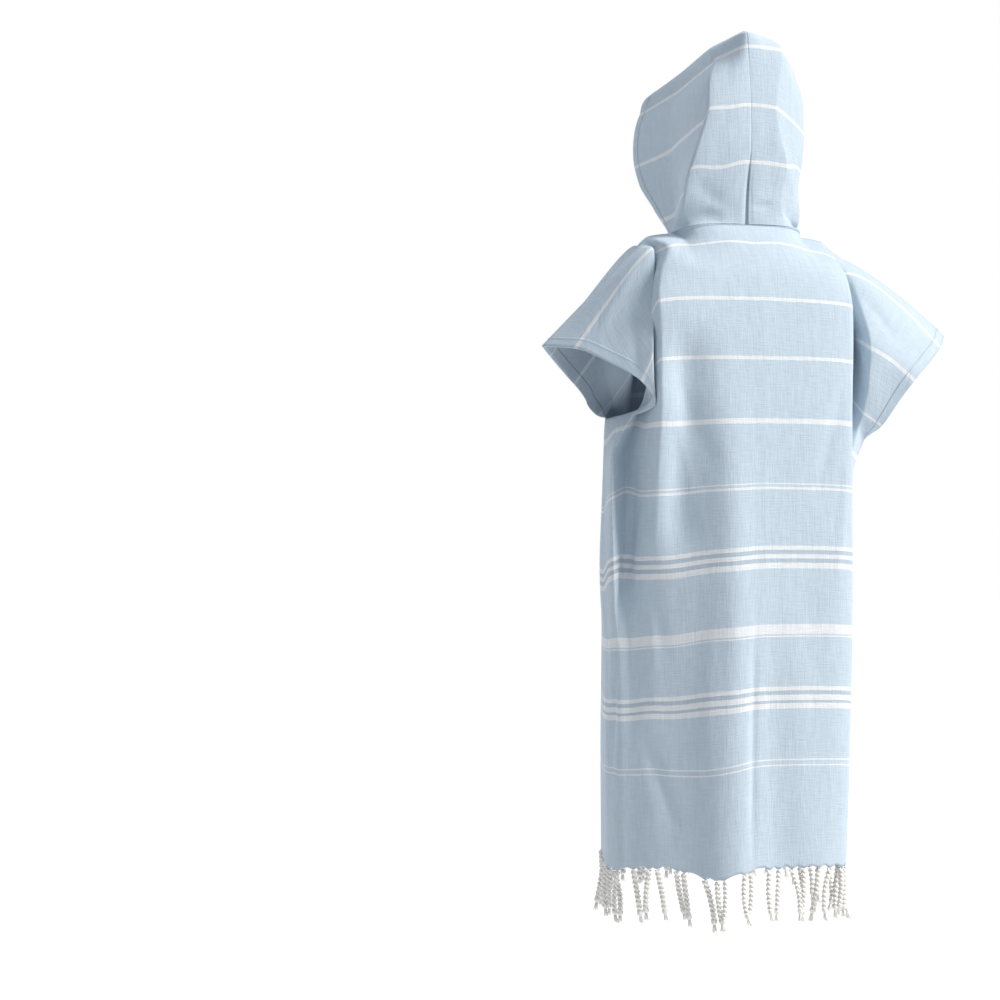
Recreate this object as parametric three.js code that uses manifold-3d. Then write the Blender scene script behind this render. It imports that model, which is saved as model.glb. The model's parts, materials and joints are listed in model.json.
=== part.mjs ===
import * as THREE from 'three';
import { mergeVertices } from 'three/addons/utils/BufferGeometryUtils.js';
import Module from 'manifold-3d';

// A child's hooded bath poncho in flat-woven cotton, in the form that it has when it is worn.
// Millimetres. +Z is up, the front faces -Y, the wearer's left is +X.
// The origin is the middle of the neck, level with the shoulders.

// Driving dimensions
const clothWall = 1.6;
const seamGap = 0.3;
const clothLength = 830;
const sleeveOpening = 240;
const neckHalfWidth = 82;
const panelHalf = 125;
const pocket = { top: 302, bend: 441, bottom: 536, topHalf: 80, bottomHalf: 109 };
const crown = { start: 220, rise: 26, fullness: 3.4 };
const tassel = {
  count: 25, length: 65, radius: 2.7, sides: 4, root: 4.2, inset: 9, lean: 14, swing: 5, jitter: 0.012,
};

// The neck opening of each panel. cut: how far it is cut below the shoulder fold, depth and rise:
// its middle from the origin, roundX, roundY and roundZ: how square its curve is.
const neck = {
  back: { cut: 12, depth: 47, rise: 8, roundX: 0.5, roundY: 0.6, roundZ: 1.2 },
  front: { cut: 105, depth: -92, rise: -42, roundX: 0.85, roundY: 0.75, roundZ: 1.2 },
};

// Where one form runs over into the next, as lengths down the cloth or as places across it.
const neckBlend = 75;
const sleeveBlend = 50;
const foldBlend = 0.35;
const panelSide = { foldsEnd: 1.6, from: 0.9, to: 1.5 };

const clothColour = 0xb6c8da;
const fringeColour = 0xe8e6e2;

// Tables have one row a section or fold, and each column has a name.
function table(names, rows) {
  const keys = names.split(' ');
  return rows.map((row) => Object.fromEntries(keys.map((key, i) => [key, row[i]])));
}

// Half sections across the cloth, by the length s down from the shoulder fold.
// edge: side of the flat panel, valley: deep fold beside it, fold: ridge of the sleeve or side,
// rim: sleeve hem, and below the sleeve the side seam. A drop is a share of the rim's height.
// puff: how far the cloth arches between the fold and the rim.
const sectionColumns = 's edgeX edgeY edgeDrop valleyX valleyY valleyDrop '
  + 'foldX foldY foldDrop rimX rimY rimZ puff';
const leftBack = [
  [240, 131, 90, 0.05, 134, 36, 0.4, 150, 52, 0.75, 168, 0, -232, 0],
  [300, 131, 82, 0.08, 149, 16, 0.4, 177, 42, 0.7, 171, 0, -292, 0],
  [430, 130, 66, 0.2, 150, 24, 0.5, 174, 40, 0.75, 173, 0, -420, 0],
  [530, 127, 60, 0.15, 149, 36, 0.5, 168, 34, 0.8, 167, 0, -517, 0],
  [680, 126, 56, 0.1, 149, 38, 0.45, 163, 28, 0.8, 166, 0, -655, 0],
  [830, 124, 58, 0.1, 147, 38, 0.4, 160, 28, 0.75, 163, 0, -786, 0],
];
const leftFront = [
  [240, 126, 92, 0.05, 118, 48, 0.45, 142, 50, 0.8, 168, 0, -232, 0],
  [300, 125, 94, 0.15, 118, 68, 0.5, 147, 46, 0.8, 171, 0, -292, 0],
  [430, 126, 95, 0.2, 136, 78, 0.5, 158, 48, 0.8, 173, 0, -420, 0],
  [530, 125, 97, 0.2, 142, 82, 0.5, 156, 50, 0.8, 167, 0, -517, 0],
  [680, 124, 100, 0.2, 144, 84, 0.5, 155, 52, 0.8, 166, 0, -655, 0],
  [830, 123, 104, 0.2, 143, 86, 0.5, 153, 54, 0.8, 163, 0, -786, 0],
];
const rightSide = [
  [0, 118, 0, 0.04, 131, 0, 0.12, 148, 0, 0.21, 293, 0, -121, 8],
  [39, 118, 44, 0.1, 131, 26, 0.24, 147, 30, 0.24, 272, 31, -137, 8],
  [78, 122, 70, 0.07, 140, 28, 0.3, 153, 52, 0.42, 247, 50, -157, 6],
  [117, 122, 84, 0.06, 149, 22, 0.36, 157, 66, 0.58, 221, 60, -181, 4],
  [150, 121, 87, 0.05, 150, 20, 0.4, 156, 64, 0.72, 205, 52, -205, 2],
  [195, 120, 90, 0.04, 146, 20, 0.45, 154, 52, 0.8, 189, 34, -237, 0],
  [240, 119, 92, 0.04, 136, 28, 0.5, 150, 42, 0.82, 180, 0, -256, 0],
  [300, 118, 94, 0.1, 118, 50, 0.5, 140, 42, 0.82, 162, 0, -303, 0],
  [430, 118, 95, 0.15, 111, 62, 0.5, 138, 44, 0.82, 155, 0, -418, 0],
  [530, 117, 97, 0.15, 115, 66, 0.5, 138, 45, 0.82, 155, 0, -512, 0],
  [680, 112, 100, 0.15, 115, 72, 0.5, 130, 47, 0.82, 148, 0, -655, 0],
  [830, 105, 104, 0.15, 111, 76, 0.5, 123, 50, 0.82, 139, 0, -789, 0],
];
const sections = {
  back: {
    left: table(sectionColumns, [
      [0, 112, 0, 0.035, 122, 0, 0.08, 134, 0, 0.17, 252, 0, -143, 0],
      [39, 106, 50, 0.03, 115, 27, 0.07, 121, 32, 0.04, 221, 33, -147, 3],
      [78, 124, 70, 0.04, 127, 48, 0.2, 131, 62, 0.33, 187, 57, -164, 3],
      [117, 132, 83, 0.05, 136, 60, 0.34, 140, 85, 0.68, 152, 78, -188, 0],
      [150, 131, 86, 0.06, 134, 54, 0.36, 138, 82, 0.76, 135, 82, -213, 0],
      [195, 131, 88, 0.05, 133, 48, 0.4, 137, 68, 0.78, 148, 46, -227, 0],
      ...leftBack,
    ]),
    right: table(sectionColumns, rightSide),
  },
  front: {
    left: table(sectionColumns, [
      [0, 112, 0, 0.035, 122, 0, 0.08, 134, 0, 0.17, 252, 0, -143, 0],
      [39, 106, 50, 0.03, 115, 27, 0.07, 121, 32, 0.04, 232, 30, -153, 3],
      [78, 119, 72, 0.04, 122, 38, 0.2, 130, 60, 0.33, 207, 60, -168, 4],
      [117, 127, 84, 0.05, 122, 38, 0.34, 140, 82, 0.6, 182, 83, -185, 2],
      [150, 127, 88, 0.06, 120, 38, 0.36, 141, 78, 0.74, 166, 80, -208, 0],
      [195, 126, 90, 0.05, 118, 40, 0.4, 138, 60, 0.8, 164, 44, -226, 0],
      ...leftFront,
    ]),
    right: table(sectionColumns, rightSide),
  },
};

// Middle of each panel, from the shoulder to the hem.
const middles = {
  back: table('s y z', [
    [0, 0, 0], [39, 68, -18], [78, 83, -50], [117, 91, -85], [195, 98, -157], [273, 100, -234],
    [351, 101, -312], [439, 102, -398], [529, 104, -487], [615, 106, -569], [697, 108, -648],
    [830, 112, -778],
  ]),
  front: table('s y z', [
    [0, 0, 0], [39, 48, -10], [78, 76, -26], [117, 94, -50], [195, 104, -120], [273, 108, -196],
    [351, 109, -272], [439, 111, -360], [529, 113, -449], [615, 115, -536], [697, 118, -618],
    [830, 122, -756],
  ]),
};

// Soft folds that run down the panels. across: place from the middle to the wearer's left,
// lean: sideways drift from start to end, depth: outward, or inward where it is negative,
// dip: how much lower the cloth hangs there at the hem.
const foldColumns = 'across lean start end width depth dip';
const folds = {
  back: table(foldColumns, [
    [88, -2, 140, 380, 23, -13, 0],
    [38, 6, 180, 900, 24, 9, 4],
    [-48, 6, 380, 900, 24, -5, 0],
    [62, 4, 560, 900, 26, 0, 13],
  ]),
  front: table(foldColumns, [
    [92, -30, 190, 700, 20, -6, 0],
    [-96, 34, 190, 700, 20, -6, 0],
    [60, 12, 520, 900, 26, 7, 4],
    [-52, -14, 500, 900, 26, 7, 5],
    [4, 0, 560, 900, 24, -5, 0],
  ]),
};

// Half rings of the hood, by the length h up the middle of the back from the neck seam.
// back: middle seam, crease: corner of the back plane, side: cheek, face: hem round the face.
const hoodColumns = 'h backY backZ creaseX creaseY creaseZ sideX sideY sideZ faceX faceY faceZ';
const hoodRings = {
  left: table(hoodColumns, [
    [0, 47, 10, 72, 26, 8, 76, -30, -8, 31, -88, -40],
    [36, 50, 44, 82, 36, 30, 68, -30, 10, 50, -88, 6],
    [75, 54, 84, 79, 43, 62, 65, -34, 44, 66, -104, 42],
    [110, 56, 119, 69, 50, 100, 65, -46, 80, 74, -136, 78],
    [147, 55, 154, 56, 52, 143, 64, -56, 118, 74, -155, 108],
    [184, 51, 191, 51, 45, 180, 60, -66, 156, 71, -162, 143],
    [220, 46, 227, 32, 17, 213, 45, -74, 190, 55, -160, 173],
    [238, 44, 244, 20, -8, 233, 30, -78, 214, 36, -146, 195],
    [246, 32, 249, 0, -20, 241, 0, -80, 223, 0, -138, 202],
  ]),
  right: table(hoodColumns, [
    [0, 47, 10, 46, 43, 10, 80, 10, 2, 31, -88, -40],
    [36, 50, 44, 44, 47, 42, 79, 24, 24, 50, -88, 6],
    [75, 54, 84, 50, 51, 81, 75, 28, 58, 66, -104, 42],
    [110, 56, 119, 40, 54, 117, 80, 30, 92, 74, -136, 78],
    [147, 55, 154, 34, 54, 152, 83, 28, 122, 76, -155, 108],
    [184, 51, 191, 40, 50, 189, 83, 26, 158, 71, -162, 143],
    [220, 46, 227, 48, 42, 225, 76, 14, 200, 58, -160, 174],
    [238, 44, 244, 30, 22, 242, 40, -22, 228, 36, -146, 195],
    [246, 32, 249, 0, 14, 247, 0, -40, 238, 0, -138, 202],
  ]),
};

const sides = { left: 1, right: -1 };
const faces = { back: 1, front: -1 };

function smoothStep(from, to, value) {
  const t = Math.min(1, Math.max(0, (value - from) / (to - from)));
  return t * t * (3 - 2 * t);
}

// The slope at a table row that never lets the curve pass beyond its rows.
function rowSlope(before, here, after, key, name) {
  if (!before || !after) {
    const [from, to] = before ? [before, here] : [here, after];
    return (to[name] - from[name]) / (to[key] - from[key]);
  }
  const upper = (here[name] - before[name]) / (here[key] - before[key]);
  const lower = (after[name] - here[name]) / (after[key] - here[key]);
  return upper * lower <= 0 ? 0 : 2 * upper * lower / (upper + lower);
}

// Reads every column of a table at a value of its first column, on smooth curves.
function readTable(rows, key, value) {
  const found = rows.findIndex((row) => row[key] > value) - 1;
  const i = found >= 0 ? found : value < rows[0][key] ? 0 : rows.length - 2;
  const [from, to] = [rows[i], rows[i + 1]];
  const span = to[key] - from[key];
  const t = (value - from[key]) / span;
  const out = {};
  for (const name of Object.keys(from)) {
    const start = rowSlope(rows[i - 1], from, to, key, name) * span;
    const end = rowSlope(from, to, rows[i + 2], key, name) * span;
    const rise = to[name] - from[name];
    out[name] = from[name] + t * (start + t * (3 * rise - 2 * start - end + t * (start + end - 2 * rise)));
  }
  return out;
}

// The neck edge of a half panel, from the middle (0) to the side of the neck (1).
function neckEdge(face, side, t) {
  const turn = t * Math.PI / 2;
  const { depth, rise, roundX, roundY, roundZ } = neck[face];
  return new THREE.Vector3(
    sides[side] * neckHalfWidth * Math.sin(turn) ** roundX,
    depth * Math.cos(turn) ** roundY,
    rise * Math.cos(turn) ** roundZ,
  );
}

// How far the neck edge is cut below the shoulder fold at a place across the cloth.
function neckDrop(face, across) {
  const t = Math.min(1, across / neckHalfWidth);
  return neck[face].cut * Math.sqrt(1 - t * t);
}

// A point past the end of a curve, so that the curve runs out straight.
function pastEnd(end, before) {
  return end.clone().multiplyScalar(1.5).addScaledVector(before, -0.5);
}

// The curve across half a panel at the length s, through its five key points.
function sectionCurve(face, side, s) {
  const row = readTable(sections[face][side], 's', s);
  const middle = readTable(middles[face], 's', s);
  const [x, y] = [sides[side], faces[face]];
  const height = (share) => middle.z + share * (row.rimZ - middle.z);
  const centre = new THREE.Vector3(0, y * middle.y, middle.z);
  const edge = new THREE.Vector3(x * row.edgeX, y * row.edgeY, height(row.edgeDrop));
  const valley = new THREE.Vector3(x * row.valleyX, y * row.valleyY, height(row.valleyDrop));
  const fold = new THREE.Vector3(x * row.foldX, y * row.foldY, height(row.foldDrop));
  const rim = new THREE.Vector3(x * row.rimX, y * row.rimY, row.rimZ);
  const beforeCentre = new THREE.Vector3(-edge.x, edge.y, edge.z);
  const mirrored = new THREE.Vector3(fold.x, -fold.y, fold.z);
  const beyond = pastEnd(rim, fold).lerp(mirrored, smoothStep(sleeveOpening - sleeveBlend, sleeveOpening, s));
  return new THREE.CatmullRomCurve3([beforeCentre, centre, edge, valley, fold, rim, beyond]);
}

// A point of the cloth before its soft folds. place runs 0 to 4 over the key points.
function bareCloth(face, side, s, place) {
  const curvePlace = (place + 1) / 6;
  const across = panelHalf * Math.min(1, place);
  const body = sectionCurve(face, side, s).getPoint(curvePlace);
  const arch = place > 3 ? Math.sin((place - 3) * Math.PI) * readTable(sections[face][side], 's', s).puff : 0;
  body.z += arch;
  const edge = neckEdge(face, side, Math.min(1, across / neckHalfWidth));
  const shoulder = sectionCurve(face, side, 0).getPoint(curvePlace);
  shoulder.z += arch;
  const besideNeck = smoothStep(neckHalfWidth, panelHalf, across);
  const belowNeck = smoothStep(0, neckBlend, s - neckDrop(face, across));
  return edge.lerp(shoulder, besideNeck).lerp(body, belowNeck + (1 - belowNeck) * besideNeck);
}

// How far the soft folds move the cloth outward and down at a place.
function foldShift(face, across, s) {
  const shift = { out: 0, down: 0 };
  for (const fold of folds[face]) {
    const along = (s - fold.start) / (fold.end - fold.start);
    const off = (across - fold.across - fold.lean * along) / fold.width;
    const bell = Math.exp(-off * off) * smoothStep(0, foldBlend, along) * smoothStep(1 + foldBlend, 1, along);
    shift.out += fold.depth * bell;
    shift.down += fold.dip * bell * Math.max(0, along);
  }
  return shift;
}

// Rows of s and places across, denser where the cloth bends.
const lengths = [0, 15, 30, 48, 70, 93, 117, 142, 168, 192, 216, 240, 270, pocket.top, 348, 395, pocket.bend,
  488, pocket.bottom, 595, 655, 715, 775, clothLength];
const neckPlace = neckHalfWidth / panelHalf;
const pocketPlace = pocket.bottomHalf / panelHalf;
const halfPlaces = [0, 0.2, 0.42, neckPlace, pocketPlace, 1, 1.35, 1.7, 2, 2.35, 2.7, 3,
  3.2, 3.42, 3.64, 3.84, 4];

// Length from the shoulder fold for a mesh row, moved down where the neck is cut out.
function rowLength(face, row, place) {
  const drop = neckDrop(face, panelHalf * Math.min(1, place));
  return row + drop * Math.max(0, 1 - row / sleeveOpening);
}

// A point of the cloth with its folds, at a signed place across (the wearer's left is positive).
function clothPoint(face, row, signedPlace) {
  const side = signedPlace < 0 ? 'right' : 'left';
  const place = Math.abs(signedPlace);
  const s = rowLength(face, row, place);
  const point = bareCloth(face, side, s, place);
  const shift = foldShift(face, Math.sign(signedPlace) * panelHalf * Math.min(place, panelSide.foldsEnd), s);
  const onPanel = 1 - smoothStep(panelSide.from, panelSide.to, place);
  point.y += faces[face] * shift.out * onPanel;
  point.z -= shift.down * onPanel;
  if (isSeam(row, place)) point.y += faces[face] * seamGap / 2;
  return point;
}

// Whether the panel meets the other panel there, at the side seam or the shoulder fold.
function isSeam(row, place) {
  return (place === 4 && row >= sleeveOpening) || (row === 0 && place >= neckPlace);
}

// Unit normals of a grid of points, each from its neighbours.
function gridNormals(grid, facing) {
  const last = [grid.length - 1, grid[0].length - 1];
  return grid.map((line, i) => line.map((point, j) => {
    const down = grid[Math.min(last[0], i + 1)][j].clone().sub(grid[Math.max(0, i - 1)][j]);
    const across = grid[i][Math.min(last[1], j + 1)].clone().sub(grid[i][Math.max(0, j - 1)]);
    return across.cross(down).normalize().multiplyScalar(facing);
  }));
}

// A closed wall of even thickness on both sides of a grid of points.
function wallGeometry(grid, normals, thickness) {
  const rows = grid.length;
  const columns = grid[0].length;
  const positions = [];
  for (const side of [0.5, -0.5]) {
    grid.forEach((line, i) => line.forEach((point, j) => {
      positions.push(...point.clone().addScaledVector(normals[i][j], side * thickness).toArray());
    }));
  }
  const outer = (i, j) => i * columns + j;
  const inner = (i, j) => rows * columns + i * columns + j;
  const indices = [];
  const quad = (a, b, c, d) => indices.push(a, b, c, a, c, d);
  for (let i = 0; i < rows - 1; i++) {
    for (let j = 0; j < columns - 1; j++) {
      quad(outer(i, j), outer(i, j + 1), outer(i + 1, j + 1), outer(i + 1, j));
      quad(inner(i, j), inner(i + 1, j), inner(i + 1, j + 1), inner(i, j + 1));
    }
    quad(outer(i, 0), outer(i + 1, 0), inner(i + 1, 0), inner(i, 0));
    quad(outer(i, columns - 1), inner(i, columns - 1), inner(i + 1, columns - 1), outer(i + 1, columns - 1));
  }
  for (let j = 0; j < columns - 1; j++) {
    quad(outer(0, j), inner(0, j), inner(0, j + 1), outer(0, j + 1));
    quad(outer(rows - 1, j), outer(rows - 1, j + 1), inner(rows - 1, j + 1), inner(rows - 1, j));
  }
  const geometry = new THREE.BufferGeometry();
  geometry.setAttribute('position', new THREE.Float32BufferAttribute(positions, 3));
  geometry.setIndex(indices);
  return faceOutward(geometry);
}

// Turns the triangles round where the closed mesh is inside out.
function faceOutward(geometry) {
  const position = geometry.getAttribute('position');
  const index = geometry.getIndex().array;
  const corners = [new THREE.Vector3(), new THREE.Vector3(), new THREE.Vector3()];
  let volume = 0;
  for (let k = 0; k < index.length; k += 3) {
    corners.forEach((corner, c) => corner.fromBufferAttribute(position, index[k + c]));
    volume += corners[0].dot(corners[1].clone().cross(corners[2]));
  }
  if (volume < 0) {
    for (let k = 0; k < index.length; k += 3) [index[k + 1], index[k + 2]] = [index[k + 2], index[k + 1]];
  }
  geometry.computeVertexNormals();
  return geometry;
}

const signedPlaces = [...halfPlaces.slice(1).reverse().map((place) => -place), ...halfPlaces];

// One panel with its halves of both sleeves. At the seams its edge is square to the other panel.
function panelGrid(face) {
  const grid = lengths.map((row) => signedPlaces.map((place) => clothPoint(face, row, place)));
  const normals = gridNormals(grid, faces[face]);
  normals.forEach((line, i) => line.forEach((normal, j) => {
    if (isSeam(lengths[i], Math.abs(signedPlaces[j]))) normal.setY(0).normalize();
  }));
  return { grid, normals };
}

// A value between two neighbours of a panel's row, at a signed place across.
function betweenColumns(line, place) {
  const after = signedPlaces.findIndex((other) => other > place);
  const j = Math.min(signedPlaces.length - 2, Math.max(0, after - 1));
  const share = (place - signedPlaces[j]) / (signedPlaces[j + 1] - signedPlaces[j]);
  return line[j].clone().lerp(line[j + 1], share);
}

// The patch pocket is made from the front panel's own points, moved out.
// Its upper corners are cut on a slant for the hands.
function pocketGeometry(panel) {
  const outward = clothWall + 2 * seamGap;
  const topPlace = pocket.topHalf / panelHalf;
  const grid = [];
  const normals = [];
  lengths.forEach((s, i) => {
    if (s < pocket.top || s > pocket.bottom) return;
    const slant = Math.min(1, (s - pocket.top) / (pocket.bend - pocket.top));
    const edge = topPlace + (pocketPlace - topPlace) * slant;
    const [near, far] = halfPlaces.slice(1, 3);
    const inner = (edge + far) / 2;
    const places = [-edge, -inner, -far, -near, 0, near, far, inner, edge];
    const line = places.map((place) => betweenColumns(panel.normals[i], place).normalize());
    normals.push(line);
    const onPanel = places.map((place) => betweenColumns(panel.grid[i], place));
    grid.push(onPanel.map((point, j) => point.addScaledVector(line[j], outward)));
  });
  return wallGeometry(grid, normals, clothWall);
}

// The curve of half a ring of the hood at the height h. Over the crown its width shrinks in an arch.
function hoodCurve(side, h) {
  const ring = readTable(hoodRings[side], 'h', h);
  if (h > crown.start) {
    const start = readTable(hoodRings[side], 'h', crown.start);
    const width = Math.sqrt(Math.max(0, 1 - ((h - crown.start) / crown.rise) ** crown.fullness));
    for (const name of ['creaseX', 'sideX', 'faceX']) ring[name] = start[name] * width;
  }
  const sign = sides[side];
  const back = new THREE.Vector3(0, ring.backY, ring.backZ);
  const crease = new THREE.Vector3(sign * ring.creaseX, ring.creaseY, ring.creaseZ);
  const cheek = new THREE.Vector3(sign * ring.sideX, ring.sideY, ring.sideZ);
  const brow = new THREE.Vector3(sign * ring.faceX, ring.faceY, ring.faceZ);
  const before = new THREE.Vector3(-crease.x, crease.y, crease.z);
  return new THREE.CatmullRomCurve3([before, back, crease, cheek, brow, pastEnd(brow, cheek)]);
}

// Half the hood: a wall through its rings, from the neck seam to the seam over the crown.
function hoodGeometry(side) {
  const heights = [0, 18, 36, 56, 75, 92, 110, 128, 147, 166, 184, 203, crown.start, 233, 241, 246];
  const places = [0, 0.3, 0.6, 0.85, 1, 1.15, 1.4, 1.7, 2, 2.25, 2.5, 2.75, 3];
  const sign = sides[side];
  const grid = heights.map((h) => {
    const curve = hoodCurve(side, h);
    return places.map((place) => curve.getPoint((place + 1) / 5));
  });
  seatOnNeck(grid[0], side);
  for (const point of grid.flat()) {
    point.x = sign * Math.max(seamGap / 2, sign * point.x + seamGap / 2);
  }
  const normals = gridNormals(grid, -sign);
  normals.forEach((line, i) => line.forEach((normal, j) => {
    if (j === 0 || i === normals.length - 1) normal.setX(0).normalize();
  }));
  return wallGeometry(grid, normals, clothWall);
}

// The lowest ring of the hood stands on the neck edge of both panels, just above it.
function seatOnNeck(line, side) {
  const steps = 24;
  const path = [];
  for (let k = 0; k <= steps; k++) path.push(neckEdge('back', side, k / steps));
  for (let k = steps - 1; k >= 0; k--) path.push(neckEdge('front', side, k / steps));
  const curve = new THREE.CatmullRomCurve3(path);
  const cornerShare = 0.87;
  line.forEach((point, j) => {
    point.copy(curve.getPointAt(cornerShare * j / (line.length - 1)));
    point.z += clothWall / 2 + 3 * seamGap;
  });
}

const wasm = await Module();
wasm.setup();

function toSolid(geometry) {
  const bare = new THREE.BufferGeometry();
  bare.setAttribute('position', geometry.getAttribute('position').clone());
  bare.setIndex(geometry.getIndex());
  const merged = mergeVertices(bare, 1e-4);
  return new wasm.Manifold(new wasm.Mesh({
    numProp: 3,
    vertProperties: new Float32Array(merged.getAttribute('position').array),
    triVerts: new Uint32Array(merged.getIndex().array),
  }));
}

function toGeometry(solid) {
  const mesh = solid.getMesh();
  const geometry = new THREE.BufferGeometry();
  geometry.setAttribute('position', new THREE.Float32BufferAttribute(mesh.vertProperties, 3));
  geometry.setIndex([...mesh.triVerts]);
  geometry.computeVertexNormals();
  return geometry;
}

// A repeatable number from 0 to 1 for each count and kind of choice.
function chance(count, kind) {
  const wave = Math.sin(count * 127.1 + kind * 311.7) * 43758.5453;
  return wave - Math.floor(wave);
}

// One twisted tassel as a four-sided bar that widens at its knot and ends in a small tuft.
function tasselGeometry(root, lean) {
  const rings = table('down radius', [[0, 0.8], [0.3, 0.9], [0.86, 0.8], [0.92, 1.15], [1, 0.7]]);
  const grid = rings.map((ring) => {
    const centre = root.clone().addScaledVector(lean, ring.down);
    const reach = tassel.radius * ring.radius;
    return [...Array(tassel.sides).keys()].map((k) => {
      const turn = (k + 0.5) * 2 * Math.PI / tassel.sides;
      return centre.clone().add(new THREE.Vector3(Math.cos(turn) * reach, Math.sin(turn) * reach, 0));
    });
  });
  const positions = grid.flat().flatMap((point) => point.toArray());
  const indices = [];
  for (let i = 0; i < rings.length - 1; i++) {
    for (let k = 0; k < tassel.sides; k++) {
      const [a, b] = [i * tassel.sides + k, i * tassel.sides + (k + 1) % tassel.sides];
      indices.push(a, b, b + tassel.sides, a, b + tassel.sides, a + tassel.sides);
    }
  }
  const end = (rings.length - 1) * tassel.sides;
  indices.push(0, 2, 1, 0, 3, 2, end, end + 1, end + 2, end, end + 2, end + 3);
  const geometry = new THREE.BufferGeometry();
  geometry.setAttribute('position', new THREE.Float32BufferAttribute(positions, 3));
  geometry.setIndex(indices);
  return faceOutward(geometry);
}

// The fringe of one panel: a narrow strip under the hem that carries its tassels.
function fringeGeometry(face) {
  const hem = signedPlaces.map((place) => clothPoint(face, clothLength, place));
  const below = (depth) => hem.map((point) => point.clone().setZ(point.z - depth));
  const grid = [below(1.4 * seamGap), below(tassel.root)];
  const normals = gridNormals(grid, faces[face]);
  for (const line of normals) {
    line[0].setY(0).normalize();
    line[line.length - 1].setY(0).normalize();
  }
  let solid = toSolid(wallGeometry(grid, normals, clothWall));
  const curve = new THREE.CatmullRomCurve3(hem);
  const inset = tassel.inset / curve.getLength();
  for (let k = 0; k < tassel.count; k++) {
    const share = inset + (1 - 2 * inset) * k / (tassel.count - 1);
    const jitter = (chance(k, 1) - 0.5) * tassel.jitter;
    const root = curve.getPointAt(Math.min(1 - inset, Math.max(inset, share + jitter)));
    root.z -= tassel.root * 0.45;
    const down = tassel.length * (0.94 + 0.08 * chance(k, 4));
    const aside = (chance(k, 2) - 0.5) * tassel.lean;
    const lean = new THREE.Vector3(aside, faces[face] * chance(k, 3) * tassel.swing, -down);
    solid = solid.add(toSolid(tasselGeometry(root, lean)));
  }
  return toGeometry(solid);
}

function fabric(name, color, roughness) {
  return new THREE.MeshStandardMaterial({ name, color, roughness, metalness: 0 });
}

const cloth = fabric('cloth', clothColour, 0.9);
const fringe = fabric('fringe', fringeColour, 0.92);

const group = new THREE.Group();
function addPiece(name, geometry, material) {
  const mesh = new THREE.Mesh(geometry, material);
  mesh.name = name;
  group.add(mesh);
}

const backPanel = panelGrid('back');
const frontPanel = panelGrid('front');
addPiece('back_panel', wallGeometry(backPanel.grid, backPanel.normals, clothWall), cloth);
addPiece('front_panel', wallGeometry(frontPanel.grid, frontPanel.normals, clothWall), cloth);
addPiece('hood_left', hoodGeometry('left'), cloth);
addPiece('hood_right', hoodGeometry('right'), cloth);
addPiece('pocket', pocketGeometry(frontPanel), cloth);
addPiece('fringe_back', fringeGeometry('back'), fringe);
addPiece('fringe_front', fringeGeometry('front'), fringe);

export default group;
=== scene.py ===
import json
import math

import bpy
import numpy as np
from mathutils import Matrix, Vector

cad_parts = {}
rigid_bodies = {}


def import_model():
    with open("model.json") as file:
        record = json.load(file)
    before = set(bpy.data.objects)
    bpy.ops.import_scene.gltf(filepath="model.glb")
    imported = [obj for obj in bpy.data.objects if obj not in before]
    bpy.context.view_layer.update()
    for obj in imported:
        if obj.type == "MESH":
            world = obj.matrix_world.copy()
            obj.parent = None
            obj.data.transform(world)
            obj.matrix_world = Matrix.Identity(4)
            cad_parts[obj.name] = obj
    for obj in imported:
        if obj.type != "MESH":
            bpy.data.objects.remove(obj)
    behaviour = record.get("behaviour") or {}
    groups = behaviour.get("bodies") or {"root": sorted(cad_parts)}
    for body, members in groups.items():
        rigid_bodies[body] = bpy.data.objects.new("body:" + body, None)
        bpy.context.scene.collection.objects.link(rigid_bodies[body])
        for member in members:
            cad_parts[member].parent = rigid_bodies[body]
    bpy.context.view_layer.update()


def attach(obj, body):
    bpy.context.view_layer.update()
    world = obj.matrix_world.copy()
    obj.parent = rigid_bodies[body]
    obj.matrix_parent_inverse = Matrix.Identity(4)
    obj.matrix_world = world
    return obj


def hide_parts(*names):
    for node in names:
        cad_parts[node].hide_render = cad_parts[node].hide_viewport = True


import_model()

mm = 0.001

# A child's hooded bath poncho in flat-woven cotton, seen from behind with its hood up.
# Tables are in millimetres, meshes in metres. The wearer's left is +X and the back faces +Y.


# Tables and curves

def namedTable(columns, rows):
    names = columns.split()
    return {name: np.array([row[i] for row in rows], float) for i, name in enumerate(names)}


def smoothStep(start, end, value):
    t = np.clip((value - start) / (end - start), 0, 1)
    return t * t * (3 - 2 * t)


def tapered(taper, value):
    return smoothStep(*taper["begins"], value) * smoothStep(*taper["ends"], value)


def rowSlopes(x, y):
    secant = np.diff(y) / np.diff(x)
    product, total = secant[:-1] * secant[1:], secant[:-1] + secant[1:]
    inner = np.where(product > 0, 2 * product / np.where(total == 0, 1, total), 0)
    return np.concatenate([secant[:1], inner, secant[-1:]])


def readAt(rows, key, values):
    # every column at the given places, on curves that never pass beyond the rows
    x = rows[key]
    i = np.clip(np.searchsorted(x, values, side="right") - 1, 0, len(x) - 2)
    span = x[i + 1] - x[i]
    t = (values - x[i]) / span
    found = {}
    for name, y in rows.items():
        slope = rowSlopes(x, y)
        a, b, rise = slope[i] * span, slope[i + 1] * span, y[i + 1] - y[i]
        found[name] = y[i] + t * (a + t * (3 * rise - 2 * a - b + t * (a + b - 2 * rise)))
    return found


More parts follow.
